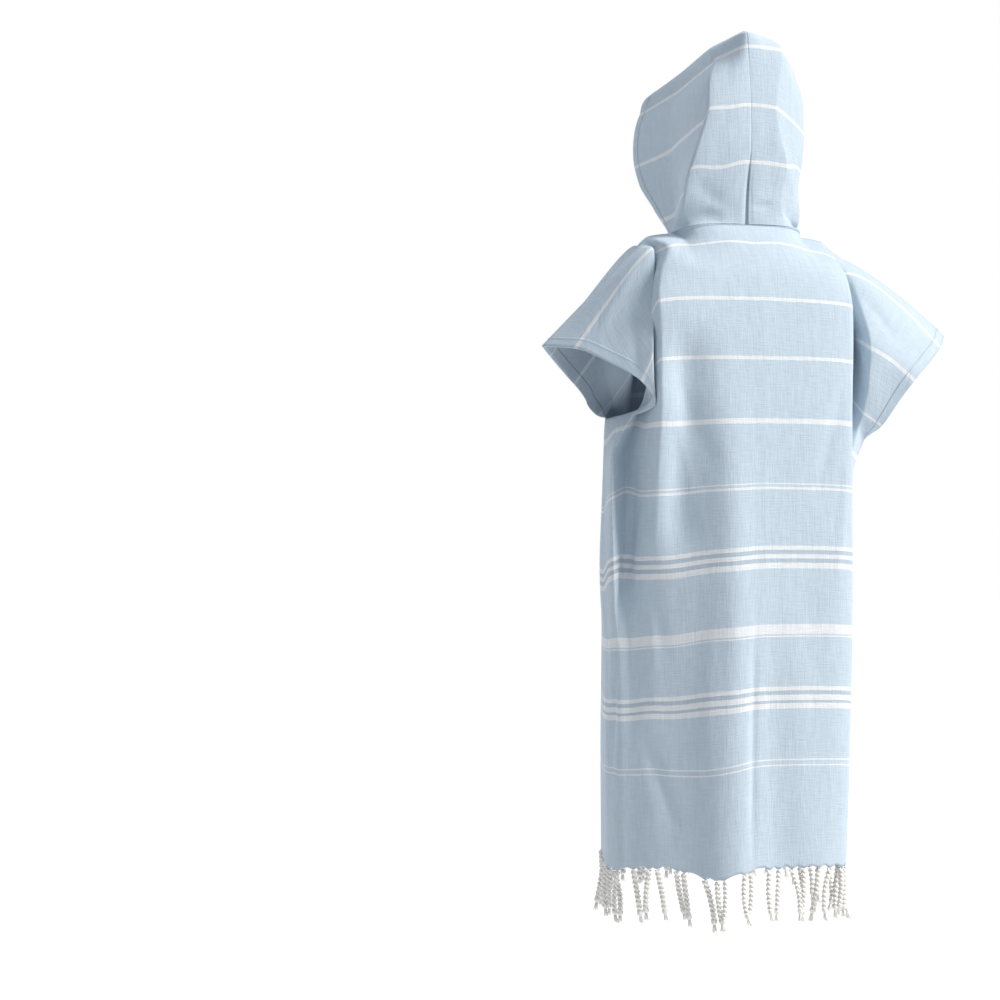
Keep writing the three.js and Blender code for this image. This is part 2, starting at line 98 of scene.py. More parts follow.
def splinePoints(keys, place, crisp=0):
    # centripetal spline through key points, where place 0 is the second key
    # crisp draws it towards straight lines between the keys, for cloth that is folded at them
    segment = np.clip(np.floor(place).astype(int), 0, keys.shape[1] - 4)
    w = (place - segment)[:, None]
    p = [keys[np.arange(len(place)), segment + k] for k in range(4)]
    d = [np.maximum(np.linalg.norm(p[k + 1] - p[k], axis=1)[:, None], 1e-6) ** 0.5 for k in range(3)]
    a = ((p[1] - p[0]) / d[0] - (p[2] - p[0]) / (d[0] + d[1]) + (p[2] - p[1]) / d[1]) * d[1]
    b = ((p[2] - p[1]) / d[1] - (p[3] - p[1]) / (d[1] + d[2]) + (p[3] - p[2]) / d[2]) * d[1]
    rise = p[2] - p[1]
    soft = p[1] + w * (a + w * (3 * rise - 2 * a - b + w * (a + b - 2 * rise)))
    return soft + np.reshape(crisp, (-1, 1)) * (p[1] + w * rise - soft)


def points(*columns):
    return np.stack(np.broadcast_arrays(*columns), axis=-1).astype(float)


def lengthAlong(line):
    # length from the start, down the first axis
    steps = np.linalg.norm(np.diff(line, axis=0), axis=-1)
    return np.concatenate([0 * steps[:1], np.cumsum(steps, axis=0)])


def pointsAt(wanted, lengths, line):
    return np.stack([np.interp(wanted, lengths, line[:, k]) for k in range(3)], axis=-1)


def unit(vectors):
    return vectors / np.maximum(np.linalg.norm(vectors, axis=-1, keepdims=True), 1e-9)


# The body cloth: half sections by the length s down from the shoulder fold.
# edge: side of the flat panel, valley: deep fold beside it, fold: ridge of the sleeve or side,
# rim: sleeve hem or side seam. A drop is a share of the rim's height, puff an arch before the rim.

bodyCloth = {
    "thickness": 1.3, "length": 830, "sleeveOpening": 240, "neckHalfWidth": 82, "panelHalf": 125,
    "neckDrop": {"back": 12, "front": 105}, "neckDepth": {"back": 47, "front": -92},
    "neckRise": {"back": 8, "front": -42}, "neckPowers": {"back": (0.5, 0.6), "front": (0.85, 0.75)},
    "neckRisePower": 1.2, "neckBlend": 75, "seamBlend": 50, "seamTurn": 13,
    "foldEnd": 1.6, "foldFade": (0.9, 1.5),
    "rowStep": 4.2, "middleSteps": (0.3, 22, 21), "segmentSteps": (14, 16, 34),
}
# how sharply the cloth is folded at its section's points: most of all beside the sleeves, less at the front
crispness = {"least": 0.2, "more": 0.35, "begins": (60, 110), "ends": (480, 300), "back": 1, "front": 0.3}
sectionColumns = "s edgeX edgeY edgeDrop valleyX valleyY valleyDrop foldX foldY foldDrop rimX rimY rimZ puff"
leftBack = [
    (240, 131, 90, 0.05, 134, 36, 0.4, 150, 52, 0.75, 168, 0, -232, 0),
    (300, 131, 82, 0.08, 149, 16, 0.4, 177, 42, 0.7, 171, 0, -292, 0),
    (430, 130, 66, 0.2, 150, 24, 0.5, 174, 40, 0.75, 173, 0, -420, 0),
    (530, 127, 60, 0.15, 149, 36, 0.5, 168, 34, 0.8, 167, 0, -517, 0),
    (680, 126, 56, 0.1, 149, 38, 0.45, 163, 28, 0.8, 166, 0, -655, 0),
    (830, 124, 58, 0.1, 147, 38, 0.4, 160, 28, 0.75, 163, 0, -786, 0),
]
leftFront = [
    (240, 126, 92, 0.05, 118, 48, 0.45, 142, 50, 0.8, 168, 0, -232, 0),
    (300, 125, 94, 0.15, 118, 68, 0.5, 147, 46, 0.8, 171, 0, -292, 0),
    (430, 126, 95, 0.2, 136, 78, 0.5, 158, 48, 0.8, 173, 0, -420, 0),
    (530, 125, 97, 0.2, 142, 82, 0.5, 156, 50, 0.8, 167, 0, -517, 0),
    (680, 124, 100, 0.2, 144, 84, 0.5, 155, 52, 0.8, 166, 0, -655, 0),
    (830, 123, 104, 0.2, 143, 86, 0.5, 153, 54, 0.8, 163, 0, -786, 0),
]
rightSide = [
    (0, 118, 0, 0.04, 131, 0, 0.12, 148, 0, 0.21, 293, 0, -121, 8),
    (39, 118, 44, 0.1, 131, 26, 0.24, 147, 30, 0.24, 272, 31, -137, 8),
    (78, 122, 70, 0.07, 140, 28, 0.3, 153, 52, 0.42, 247, 50, -157, 6),
    (117, 122, 84, 0.06, 149, 22, 0.36, 157, 66, 0.58, 221, 60, -181, 4),
    (150, 121, 87, 0.05, 150, 20, 0.4, 156, 64, 0.72, 205, 52, -205, 2),
    (195, 120, 90, 0.04, 146, 20, 0.45, 154, 52, 0.8, 189, 34, -237, 0),
    (240, 119, 92, 0.04, 136, 28, 0.5, 150, 42, 0.82, 180, 0, -256, 0),
    (300, 118, 94, 0.1, 118, 50, 0.5, 140, 42, 0.82, 162, 0, -303, 0),
    (430, 118, 95, 0.15, 111, 62, 0.5, 138, 44, 0.82, 155, 0, -418, 0),
    (530, 117, 97, 0.15, 115, 66, 0.5, 138, 45, 0.82, 155, 0, -512, 0),
    (680, 112, 100, 0.15, 115, 72, 0.5, 130, 47, 0.82, 148, 0, -655, 0),
    (830, 105, 104, 0.15, 111, 76, 0.5, 123, 50, 0.82, 139, 0, -789, 0),
]
sections = {
    ("back", "left"): namedTable(sectionColumns, [
        (0, 112, 0, 0.035, 122, 0, 0.08, 134, 0, 0.17, 252, 0, -143, 0),
        (39, 106, 50, 0.03, 115, 27, 0.07, 121, 32, 0.04, 221, 33, -147, 3),
        (78, 124, 70, 0.04, 127, 48, 0.2, 131, 62, 0.33, 187, 57, -164, 3),
        (117, 132, 83, 0.05, 136, 60, 0.34, 140, 85, 0.68, 152, 78, -188, 0),
        (150, 131, 86, 0.06, 134, 54, 0.36, 138, 82, 0.76, 135, 82, -213, 0),
        (195, 131, 88, 0.05, 133, 48, 0.4, 137, 68, 0.78, 148, 46, -227, 0),
        *leftBack,
    ]),
    ("front", "left"): namedTable(sectionColumns, [
        (0, 112, 0, 0.035, 122, 0, 0.08, 134, 0, 0.17, 252, 0, -143, 0),
        (39, 106, 50, 0.03, 115, 27, 0.07, 121, 32, 0.04, 232, 30, -153, 3),
        (78, 119, 72, 0.04, 122, 38, 0.2, 130, 60, 0.33, 207, 60, -168, 4),
        (117, 127, 84, 0.05, 122, 38, 0.34, 140, 82, 0.6, 182, 83, -185, 2),
        (150, 127, 88, 0.06, 120, 38, 0.36, 141, 78, 0.74, 166, 80, -208, 0),
        (195, 126, 90, 0.05, 118, 40, 0.4, 138, 60, 0.8, 164, 44, -226, 0),
        *leftFront,
    ]),
    ("back", "right"): namedTable(sectionColumns, rightSide),
    ("front", "right"): namedTable(sectionColumns, rightSide),
}
middles = {
    "back": namedTable("s y z", [
        (0, 0, 0), (39, 68, -18), (78, 83, -50), (117, 91, -85), (195, 98, -157), (273, 100, -234),
        (351, 101, -312), (439, 102, -398), (529, 104, -487), (615, 106, -569), (697, 108, -648),
        (830, 112, -778),
    ]),
    "front": namedTable("s y z", [
        (0, 0, 0), (39, 48, -10), (78, 76, -26), (117, 94, -50), (195, 104, -120), (273, 108, -196),
        (351, 109, -272), (439, 111, -360), (529, 113, -449), (615, 115, -536), (697, 118, -618),
        (830, 122, -756),
    ]),
}

# Soft folds down the panels, and smaller creases from one place to another, (across, s) to (across, s).
foldColumns = "across lean start end width depth dip"
folds = {
    "back": namedTable(foldColumns, [
        (88, -2, 140, 380, 23, -13, 0),
        (38, 6, 180, 900, 24, 9, 4),
        (-48, 6, 380, 900, 24, -5, 0),
        (62, 4, 560, 900, 26, 0, 13),
    ]),
    "front": namedTable(foldColumns, [
        (92, -30, 190, 700, 20, -6, 0),
        (-96, 34, 190, 700, 20, -6, 0),
        (60, 12, 520, 900, 26, 7, 4),
        (-52, -14, 500, 900, 26, 7, 5),
        (4, 0, 560, 900, 24, -5, 0),
    ]),
}
creaseColumns = "across0 s0 across1 s1 width depth"
creases = {
    "back": namedTable(creaseColumns, [
        (104, 232, 66, 330, 9, -2.2),
        (112, 268, 84, 392, 8, 1.8),
        (-104, 236, -70, 352, 9, -1.8),
        (-112, 300, -96, 470, 7, 1.4),
        (70, 520, 78, 700, 7, 1.6),
        (16, 560, 20, 800, 5, -2.2),
        (-44, 500, -44, 900, 22, 4.5),
        (-6, 540, -4, 900, 30, -5.0),
        (68, 600, 70, 900, 18, 3.0),
        (152, 668, 118, 778, 9, -3.2),
        (150, 430, 128, 560, 8, -2.0),
        (184, 350, 204, 670, 10, -4.5),
        (200, 60, 250, 110, 7, -1.6),
        (176, 40, 262, 52, 6, 1.4),
        (-190, 60, -262, 88, 6, -1.6),
        (-178, 86, -246, 140, 6, 1.5),
        (-196, 120, -238, 170, 5, -1.4),
        (-70, 60, -20, 84, 9, 1.0),
        (40, 50, 88, 66, 8, -1.2),
    ]),
    "front": namedTable(creaseColumns, [
        (60, 150, 96, 96, 9, 2.2),
        (-58, 150, -98, 92, 9, 2.0),
        (44, 180, 92, 130, 8, -2.0),
        (-40, 190, -92, 128, 8, -1.8),
        (104, 236, 60, 330, 9, -2.4),
        (-104, 238, -66, 346, 9, -2.2),
        (66, 560, 74, 760, 8, 1.8),
        (-62, 560, -80, 770, 8, 1.6),
        (150, 640, 124, 760, 9, -2.6),
        (-152, 300, -132, 820, 16, 5.0),
        (-100, 520, -86, 840, 14, -3.0),
        (-58, 600, -50, 840, 14, 2.4),
        (30, 600, 24, 840, 16, -2.4),
        (96, 520, 86, 840, 14, -3.0),
        (142, 320, 132, 820, 14, 4.0),
        (198, 56, 250, 104, 7, -1.6),
        (-190, 64, -260, 92, 6, -1.6),
        (-180, 90, -246, 138, 6, 1.4),
    ]),
}
# shares of a fold's or a crease's length over which it begins and ends
foldTaper = {"begins": (0, 0.35), "ends": (1.35, 1)}
creaseTaper = {"begins": (-0.25, 0.3), "ends": (1.25, 0.7)}
# small uneven pleats at the front neckline
gathers = {"pitch": 8.2, "wander": 1.2, "wanderPitch": 7, "reach": 34, "fade": 12, "length": 34, "depth": 2.4}
signs = {"left": 1, "right": -1, "back": 1, "front": -1}


def neckEdge(face, t):
    turn = t * math.pi / 2
    across, along = bodyCloth["neckPowers"][face]
    cosine = np.maximum(np.cos(turn), 0)
    return points(
        bodyCloth["neckHalfWidth"] * np.sin(turn) ** across,
        bodyCloth["neckDepth"][face] * cosine ** along,
        bodyCloth["neckRise"][face] * cosine ** bodyCloth["neckRisePower"],
    )


def neckDrop(face, across):
    t = np.minimum(1, across / bodyCloth["neckHalfWidth"])
    return bodyCloth["neckDrop"][face] * np.sqrt(1 - t * t)


def sectionKeys(face, side, s):
    row = readAt(sections[face, side], "s", s)
    middle = readAt(middles[face], "s", s)
    y = signs[face]

    def height(share):
        return middle["z"] + share * (row["rimZ"] - middle["z"])

    centre = points(0 * s, y * middle["y"], middle["z"])
    edge = points(row["edgeX"], y * row["edgeY"], height(row["edgeDrop"]))
    valley = points(row["valleyX"], y * row["valleyY"], height(row["valleyDrop"]))
    fold = points(row["foldX"], y * row["foldY"], height(row["foldDrop"]))
    rim = points(row["rimX"], y * row["rimY"], row["rimZ"])
    free = 1.5 * rim - 0.5 * fold
    seamTop = bodyCloth["sleeveOpening"]
    closed = smoothStep(seamTop - bodyCloth["seamBlend"], seamTop, s)[:, None]
    beyond = free + closed * (fold * (1, -1, 1) - free)
    return np.stack([edge * (-1, 1, 1), centre, edge, valley, fold, rim, beyond], axis=1), row["puff"]


def clothPoints(face, side, s, place):
    across = bodyCloth["panelHalf"] * np.minimum(1, place)
    keys, puff = sectionKeys(face, side, s)
    crisp = crispness["least"] + crispness["more"] * tapered(crispness, s)
    body = splinePoints(keys, place, crispness[face] * crisp)
    arch = np.where(place > 3, np.sin((place - 3) * math.pi) * puff, 0)
    body[:, 2] += arch
    shoulder = splinePoints(sectionKeys(face, side, 0 * s)[0], place)
    shoulder[:, 2] += arch
    half, panel = bodyCloth["neckHalfWidth"], bodyCloth["panelHalf"]
    besideNeck = smoothStep(half, panel, across)[:, None]
    neck = neckEdge(face, np.minimum(1, across / half))
    top = neck + besideNeck * (shoulder - neck)
    fromNeck = smoothStep(0, bodyCloth["neckBlend"], s - neckDrop(face, across))[:, None]
    found = top + (fromNeck + (1 - fromNeck) * besideNeck) * (body - top)
    found[:, 0] *= signs[side]
    return found


def foldShift(face, across, s):
    out, down = 0 * s, 0 * s
    rows = folds[face]
    for k in range(len(rows["across"])):
        along = (s - rows["start"][k]) / (rows["end"][k] - rows["start"][k])
        off = (across - rows["across"][k] - rows["lean"][k] * along) / rows["width"][k]
        bell = np.exp(-off * off) * tapered(foldTaper, along)
        out = out + rows["depth"][k] * bell
        down = down + rows["dip"][k] * bell * np.maximum(0, along)
    return out, down


def creaseDepth(rows, across, s):
    # soft troughs and ridges that taper to both ends
    depth = 0 * s
    for k in range(len(rows["width"])):
        start = np.array([rows["across0"][k], rows["s0"][k]])
        run = np.array([rows["across1"][k], rows["s1"][k]]) - start
        x, y = across - start[0], s - start[1]
        t = (x * run[0] + y * run[1]) / (run @ run)
        off = (x * run[1] - y * run[0]) / np.linalg.norm(run) / rows["width"][k]
        depth = depth + rows["depth"][k] * np.exp(-off * off) * tapered(creaseTaper, t)
    return depth


def gridNormals(grid, facing):
    down = np.gradient(grid, axis=0)
    across = np.gradient(grid, axis=1)
    return unit(np.cross(across, down) * facing)


def arcLengths(grid, start):
    # length along each row from the column start
    total = lengthAlong(grid.swapaxes(0, 1)).T
    return total - total[:, start:start + 1]


# Where the stripes begin to follow the cloth below the neck: by rows at the back, and by places on both.
neckFollow = {"rows": (76, 42), "back": (1.2, 0.6), "front": (0.75, 0.35)}


def nearNeck(face, grid, s, place):
    # below the neck seam the stripes lie by the length along the cloth
    along = lengthAlong(grid)
    if face == "back":
        share = smoothStep(*neckFollow["rows"], s) * smoothStep(*neckFollow["back"], place)
        return s + share * (s[0] + along - bodyCloth["seamTurn"] - s)
    end = round(bodyCloth["sleeveOpening"] / bodyCloth["rowStep"])
    even = s[0] + along / along[end] * (s[end] - s[0])
    share = smoothStep(*neckFollow["front"], place) * (np.arange(len(s)) < end)[:, None]
    return s + share * (even - s)


# On the wearer's left of the back the stripes sag on the panel and rise again in the deep fold, and low
# down they stay up across the side seam. In mm, but backSeam and frontSeam are places on the section.
skew = {
    "sag": 3, "moreSag": 9, "sagRows": (260, 600), "sagMiddle": 122, "sagWidth": 50, "begins": (200, 260),
    "rise": 9, "riseAcross": (165, 208), "low": (440, 520), "backSeam": (3.95, 3.4), "frontSeam": (2.8, 4),
}


def stripeSkew(face, u, s, signed):
    low = smoothStep(*skew["low"], s)
    if face == "front":
        return skew["rise"] * low * smoothStep(*skew["frontSeam"], signed)
    sag = skew["sag"] + skew["moreSag"] * smoothStep(*skew["sagRows"], s)
    sag = sag * np.exp(-((u - skew["sagMiddle"]) / skew["sagWidth"]) ** 2)
    offSeam = smoothStep(*skew["backSeam"], signed)
    rise = skew["rise"] * smoothStep(*skew["riseAcross"], u) * (offSeam + low * (1 - offSeam))
    return (rise - sag) * smoothStep(*skew["begins"], s)


def signedPlaces():
    # finest in the middle, where the front is gathered at the neck
    fineEnd, fineCount, count = bodyCloth["middleSteps"]
    half = list(np.linspace(0, fineEnd, fineCount)) + list(np.linspace(fineEnd, 1, count)[1:])
    for segment, steps in enumerate(bodyCloth["segmentSteps"], start=1):
        half += [segment + (k + 1) / steps for k in range(steps)]
    return np.array([-p for p in reversed(half[1:])] + half)


def bodyGrid(face):
    # points, outward normals, across and s of every mesh point of a panel
    places = signedPlaces()
    rows = np.linspace(0, bodyCloth["length"], round(bodyCloth["length"] / bodyCloth["rowStep"]) + 1)
    row, signed = (a.ravel() for a in np.meshgrid(rows, places, indexing="ij"))
    place = np.abs(signed)
    across = bodyCloth["panelHalf"] * np.minimum(1, place)
    s = row + neckDrop(face, across) * np.maximum(0, 1 - row / bodyCloth["sleeveOpening"])
    left, right = (clothPoints(face, side, s, place) for side in ("left", "right"))
    found = np.where(signed[:, None] >= 0, left, right)
    foldAcross = np.sign(signed) * bodyCloth["panelHalf"] * np.minimum(place, bodyCloth["foldEnd"])
    out, down = foldShift(face, foldAcross, s)
    onPanel = 1 - smoothStep(*bodyCloth["foldFade"], place)
    found[:, 1] += signs[face] * out * onPanel
    found[:, 2] -= down * onPanel
    shape = (len(rows), len(places))
    grid = found.reshape(*shape, 3)
    s = s.reshape(shape)
    normals = gridNormals(grid, signs[face])
    u = arcLengths(grid, len(places) // 2)
    s = nearNeck(face, grid, s, np.abs(places))
    depth = creaseDepth(creases[face], u, s)
    if face == "front":
        wander = gathers["wander"] * np.sin(u / gathers["wanderPitch"])
        wave = np.cos(u / gathers["pitch"] * 2 * math.pi + wander)
        wave *= smoothStep(gathers["reach"], gathers["reach"] - gathers["fade"], np.abs(u))
        depth += gathers["depth"] * wave * np.exp((s[0] - s) / gathers["length"])
    s = s + stripeSkew(face, u, s, places)
    place = np.abs(places)[None, :]
    onSeam = (place == 4) & (rows[:, None] >= bodyCloth["sleeveOpening"])
    onSeam |= (rows[:, None] == 0) & (place * bodyCloth["panelHalf"] >= bodyCloth["neckHalfWidth"])
    normals[onSeam, 1] = 0
    normals = unit(normals)
    grid = grid + normals * (depth * ~onSeam)[:, :, None]
    return grid, normals, u, s, rows


# Colours and finishes

def linear(hexColour):
    channels = [int(hexColour[i:i + 2], 16) / 255 for i in (1, 3, 5)]
    return [c / 12.92 if c <= 0.04045 else ((c + 0.055) / 1.055) ** 2.4 for c in channels] + [1.0]


def addNode(tree, kind, inputs=None, **settings):
    # inputs: socket name or number to a value, to an output, or to a node for its first output
    node = tree.nodes.new(kind)
    for name, value in settings.items():
        setattr(node, name, value)
    for name, value in (inputs or {}).items():
        if isinstance(value, bpy.types.Node):
            value = value.outputs[0]
        if isinstance(value, bpy.types.NodeSocket):
            tree.links.new(value, node.inputs[name])
        else:
            node.inputs[name].default_value = value
    return node


def maths(tree, operation, *values):
    return addNode(tree, "ShaderNodeMath", dict(enumerate(values)), operation=operation)


def mixColours(tree, share, first, second, **settings):
    inputs = {0: share, 6: first, 7: second}
    return addNode(tree, "ShaderNodeMix", inputs, data_type="RGBA", **settings).outputs[2]


def newMaterial(name):
    material = bpy.data.materials.new(name)
    material.use_nodes = True
    material.node_tree.nodes.clear()
    return material, material.node_tree


def finishMaterial(material, inputs):
    shader = addNode(material.node_tree, "ShaderNodeBsdfPrincipled", inputs)
    addNode(material.node_tree, "ShaderNodeOutputMaterial", {0: shader})
    return material


wovenCotton = {
    "blue": "#b6c6d4", "white": "#d7dce2", "between": "#acbac8",
    "roughness": 0.88, "specular": 0.25, "sheen": 0.3, "sheenRoughness": 0.45, "sheenTint": "#eef4fb",
    "threadPitch": 1.8,  # mm: the real threads, 0.7 mm apart, are finer than the picture shows
    "threadHeight": 0.35, "slubHeight": 0.5, "edgeScale": 260.0, "edgeWobble": 0.6,
    "threadTone": (0.94, 1.04), "slubTone": (0.97, 1.02),
}
hemBand = {"inner": 13.8, "outer": 15.2, "height": 0.9}  # mm: the turned hem stands out up to its stitches

# White stripes by their middle and width, in mm from the shoulder fold. after: colour past each.
bodyStripes = [
    *[(s, 5.6, "blue") for s in (39, 117, 195, 273)],
    (348, 2.2, "blue"), (354, 2.2, "blue"),
    (428, 6.2, "between"), (439, 6.2, "between"), (450, 6.2, "blue"),
    (520.4, 1.4, "blue"), (529, 12.4, "blue"), (537.6, 1.4, "blue"),
    (604, 6.2, "between"), (615, 6.2, "between"), (626, 6.2, "blue"),
    (694, 2.2, "blue"), (700, 2.2, "blue"),
]
hoodStripes = [(h, 5.4, "blue") for h in (75, 147, 220)]
rampSplit, rampEnd = 400, 850  # one ramp can't hold all stripes, so the lower ones have their own


def stripeRamp(tree, along, stripes, start, end):
    # a ramp over the cloth's length whose stops are the edges of the white stripes
    scaled = addNode(tree, "ShaderNodeMapRange", {0: along, 1: start * mm, 2: end * mm})
    ramp = addNode(tree, "ShaderNodeValToRGB", {0: scaled})
    ramp.color_ramp.interpolation = "CONSTANT"
    ramp.color_ramp.elements[0].color = linear(wovenCotton["blue"])
    ramp.color_ramp.elements.remove(ramp.color_ramp.elements[1])
    for middle, width, after in stripes:
        for edge, colour in ((middle - width / 2, "white"), (middle + width / 2, after)):
            stop = ramp.color_ramp.elements.new((edge - start) / (end - start))
            stop.color = linear(wovenCotton[colour])
    return ramp


def makeCloth(name, stripes):
    # plain-woven cotton, washed and hung: matt, a little fuzz that lightens grazing light,
    # fine upright crinkle from the slack warp, and white weft stripes with slightly soft edges
    material, tree = newMaterial(name)
    cloth = addNode(tree, "ShaderNodeUVMap", uv_map="cloth")
    down = addNode(tree, "ShaderNodeSeparateXYZ", {0: cloth}).outputs[1]
    wobble = addNode(tree, "ShaderNodeTexNoise", {
        "Vector": cloth, "Scale": wovenCotton["edgeScale"], "Detail": 1.0,
    })
    most = wovenCotton["edgeWobble"] * mm
    shift = addNode(tree, "ShaderNodeMapRange", {0: wobble, 3: -most, 4: most})
    along = maths(tree, "ADD", down, shift)
    upper = [row for row in stripes if row[0] < rampSplit]
    lower = [row for row in stripes if row[0] >= rampSplit]
    colour = stripeRamp(tree, along, upper, 0, rampSplit)
    if lower:
        isLower = maths(tree, "GREATER_THAN", along, rampSplit * mm)
        colour = mixColours(tree, isLower, colour, stripeRamp(tree, along, lower, rampSplit, rampEnd))
    pitch = wovenCotton["threadPitch"] * mm
    warp = stretchedNoise(tree, cloth, (1 / pitch, 0.07 / pitch, 1), 2.0)
    weft = stretchedNoise(tree, cloth, (0.1 / pitch, 1 / pitch, 1), 1.0)
    slub = stretchedNoise(tree, cloth, (0.22 / pitch, 0.05 / pitch, 1), 2.0)
    weave = maths(tree, "ADD", warp, weft)
    tones = []
    for noise, low, high, tone in ((weave, 0.7, 1.3, "threadTone"), (slub, 0.3, 0.7, "slubTone")):
        dark, light = wovenCotton[tone]
        tones.append(addNode(tree, "ShaderNodeMapRange", {0: noise, 1: low, 2: high, 3: dark, 4: light}))
    toned = mixColours(tree, 1.0, colour, maths(tree, "MULTIPLY", *tones), blend_type="MULTIPLY")
    fromEdge = addNode(tree, "ShaderNodeSeparateXYZ", {0: addNode(tree, "ShaderNodeUVMap", uv_map="hem")})
    height = addNode(tree, "ShaderNodeMapRange", {
        0: fromEdge, 1: hemBand["inner"] * mm, 2: hemBand["outer"] * mm, 3: hemBand["height"] * mm, 4: 0.0,
    })
    for noise, depth in ((weave, "threadHeight"), (slub, "slubHeight")):
        height = maths(tree, "MULTIPLY_ADD", noise, wovenCotton[depth] * mm, height)
    bump = addNode(tree, "ShaderNodeBump", {"Height": height, "Distance": 1.0, "Strength": 1.0})
    return finishMaterial(material, {
        "Base Color": toned, "Normal": bump, "Roughness": wovenCotton["roughness"], "IOR": 1.5,
        "Specular IOR Level": wovenCotton["specular"], "Sheen Weight": wovenCotton["sheen"],
        "Sheen Roughness": wovenCotton["sheenRoughness"], "Sheen Tint": linear(wovenCotton["sheenTint"]),
    })


def stretchedNoise(tree, vector, scale, detail):
    mapped = addNode(tree, "ShaderNodeMapping", {"Vector": vector, "Scale": scale})
    return addNode(tree, "ShaderNodeTexNoise", {"Vector": mapped, "Scale": 1.0, "Detail": detail})


# bleached cotton yarn, twisted in two plies: matt and fuzzy, with painted shade between the fibres, which are
# 1.1 mm apart
twistedYarn = {
    "colour": "#f7f6f4", "shade": "#e3e1dd", "grainScale": 1000 / 1.1, "detail": 3.0, "grainHeight": 0.6,
    "relief": 0.6, "roughness": 0.92, "specular": 0.2, "sheen": 0.3,
}
# polyester sewing thread in the cloth's own blue, a little glossier than the cotton
sewingThread = {
    "colour": "#c9d9ea", "shade": "#a4bed8", "grainScale": 900.0, "detail": 2.0, "grainHeight": 0,
    "relief": 0, "roughness": 0.55, "specular": 0.5, "sheen": 0,
}


def makeStrand(name, look):
    material, tree = newMaterial(name)
    noise = addNode(tree, "ShaderNodeTexNoise", {
        "Vector": addNode(tree, "ShaderNodeTexCoord").outputs["Object"],
        "Scale": look["grainScale"], "Detail": look["detail"],
    })
    # painted shade: the shade colour goes where the noise is low, which on the yarn is also where its bump is
    # deepest
    colour = mixColours(tree, noise, linear(look["shade"]), linear(look["colour"]))
    inputs = {
        "Base Color": colour, "Roughness": look["roughness"], "Specular IOR Level": look["specular"],
        "Sheen Weight": look["sheen"], "Sheen Roughness": 0.5,
    }
    if look["relief"]:
        inputs["Normal"] = addNode(tree, "ShaderNodeBump", {
            "Height": noise, "Distance": look["grainHeight"] * mm, "Strength": look["relief"],
        })
    return finishMaterial(material, inputs)


bodyMaterial = makeCloth("Woven cotton, body", bodyStripes)
hoodMaterial = makeCloth("Woven cotton, hood", hoodStripes)
yarnMaterial = makeStrand("Twisted cotton yarn", twistedYarn)
threadMaterial = makeStrand("Sewing thread", sewingThread)
print("materials made")


# Meshes

def addObject(name, data, material=None):
    piece = bpy.data.objects.new(name, data)
    bpy.context.scene.collection.objects.link(piece)
    if material:
        data.materials.clear()
        data.materials.append(material)
    return piece


def newMesh(name, vertices, edges, faces, smooth=False):
    mesh = bpy.data.meshes.new(name)
    mesh.from_pydata(vertices, edges, faces)
    if smooth:
        mesh.polygons.foreach_set("use_smooth", [True] * len(mesh.polygons))
    mesh.update()
    return mesh


def sheetMesh(name, grid, u, v, hemDistance, facing, material, thickness):
    # a thin shell on a grid of points, with its cloth coordinates and its distance from the hem
    rows, columns = grid.shape[:2]
    index = np.arange(rows * columns).reshape(rows, columns)
    quads = np.stack([index[:-1, :-1], index[:-1, 1:], index[1:, 1:], index[1:, :-1]], axis=-1).reshape(-1, 4)
    if facing < 0:
        quads = quads[:, ::-1]
    mesh = newMesh(name, (grid.reshape(-1, 3) * mm).tolist(), [], quads.tolist(), smooth=True)
    corners = quads.ravel()
    for layer, first, second in (("cloth", u, v), ("hem", hemDistance, v)):
        pairs = np.stack([first.ravel()[corners], second.ravel()[corners]], axis=1) * mm
        mesh.uv_layers.new(name=layer).data.foreach_set("uv", pairs.ravel())
    piece = addObject(name, mesh, material)
    shell = piece.modifiers.new("shell", "SOLIDIFY")
    shell.thickness = thickness * mm
    shell.offset = 0
    return piece


def dress(piece, slot, *nodes):
    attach(piece, "root")
    if nodes:
        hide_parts(*nodes)


# Front and back panels

def chance(count, kind):
    # a number from 0 to 1 that looks random and is the same in every run
    wave = math.sin(count * 127.1 + kind * 311.7) * 43758.5453
    return wave - math.floor(wave)


# Twisted tassels, knotted out of the warp itself. The hem is drawn down a little at each of them.
fringe = {
    "count": 25, "length": 65, "ply": 2.15, "twist": 12, "inset": 9, "knotRadius": 4.2, "jitter": 0.026,
    "scallop": 3.4, "scallopReach": 7.5, "scallopHeight": 16,
    "kinds": 6, "bend": 9, "knotPlace": 0.80, "knotShift": 0.06, "plyRings": 44,
    "tuftStrands": 9, "tuftSpread": 1.7, "lean": 0.17, "leastSize": 0.9, "rootDepth": 1.0,
    "seeds": {"back": 4, "front": 9},
}
# the knot's outline: down from its middle, and its radius where the widest is 3.5
knotOutline = [(-3.2, 1.6), (-2.2, 3.0), (-0.6, 3.5), (1.2, 3.2), (2.8, 2.3), (3.6, 1.5)]


def tasselPlaces(line):
    # where each tassel stands, as a length along the hem
    total = lengthAlong(line)[-1]
    inset = fringe["inset"] / total
    even = inset + (1 - 2 * inset) * np.linspace(0, 1, fringe["count"])
    moved = even + [(chance(k, 1) - 0.5) * fringe["jitter"] for k in range(fringe["count"])]
    return np.clip(moved, inset, 1 - inset) * total


def scalloped(grid, rows):
    line = grid[-1]
    away = np.abs(lengthAlong(line)[:, None] - tasselPlaces(line)[None, :]).min(axis=1)
    lift = fringe["scallop"] * smoothStep(1, fringe["scallopReach"], away)
    nearHem = smoothStep(rows[-1] - fringe["scallopHeight"], rows[-1], rows)
    raised = grid.copy()
    raised[:, :, 2] += nearHem[:, None] * lift[None, :]
    return raised


